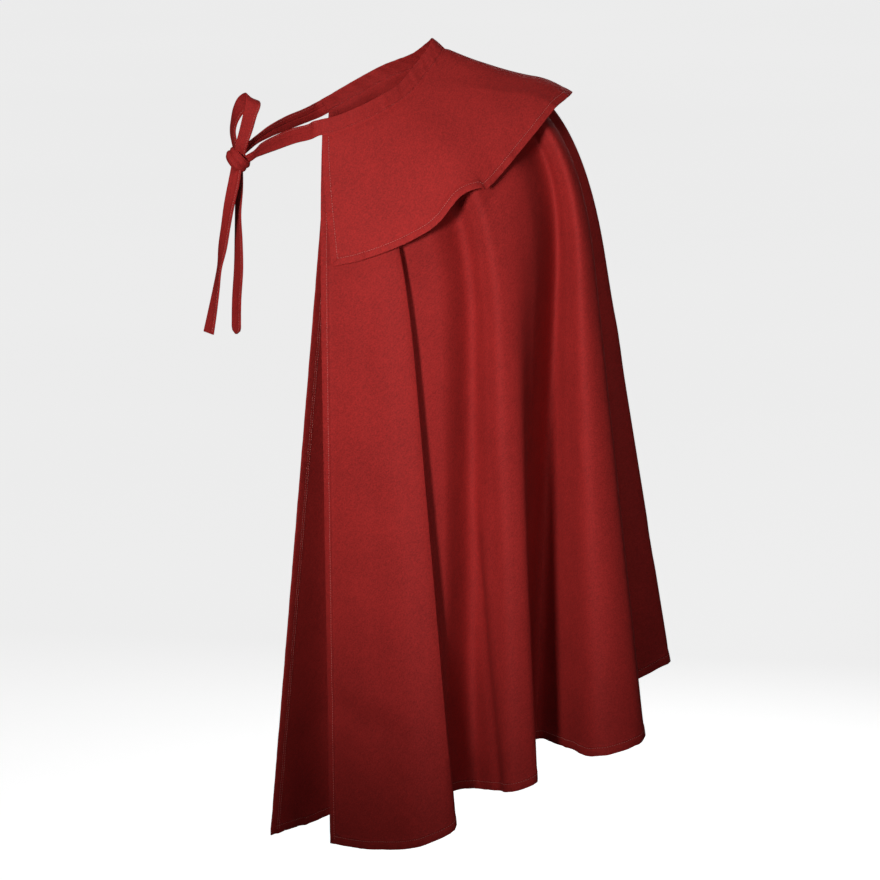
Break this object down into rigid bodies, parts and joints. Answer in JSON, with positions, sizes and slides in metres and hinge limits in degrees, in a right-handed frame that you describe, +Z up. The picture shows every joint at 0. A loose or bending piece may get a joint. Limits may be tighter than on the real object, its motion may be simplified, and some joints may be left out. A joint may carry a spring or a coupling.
{
  "type": "cloak",
  "caption": "Short one-shoulder cloak of plain red twill with a wide cape collar and a narrow neckband that ties in a half bow under the other arm, hollow as worn.",
  "frame": {"origin": "on the underside of the mantle at the top of the shoulder that carries it, where a wearer holds the cloak up", "axes": "+Z up, +X towards the shoulder that carries the cloak, -Y the front"},
  "size_m": [0.5862, 0.3779, 1.0239],
  "materials": {
    "twill": "matt heavy twill, brick red",
    "band": "the same twill folded into a strip, brick red"
  },
  "bodies": {
    "root": {"mantle": "twill", "collar": "twill", "neckband": "band", "tie_front": "band", "tie_back": "band", "tie_knot": "band", "bow_loop": "band", "tail_left": "band", "tail_right": "band"}
  },
  "joints": []
}
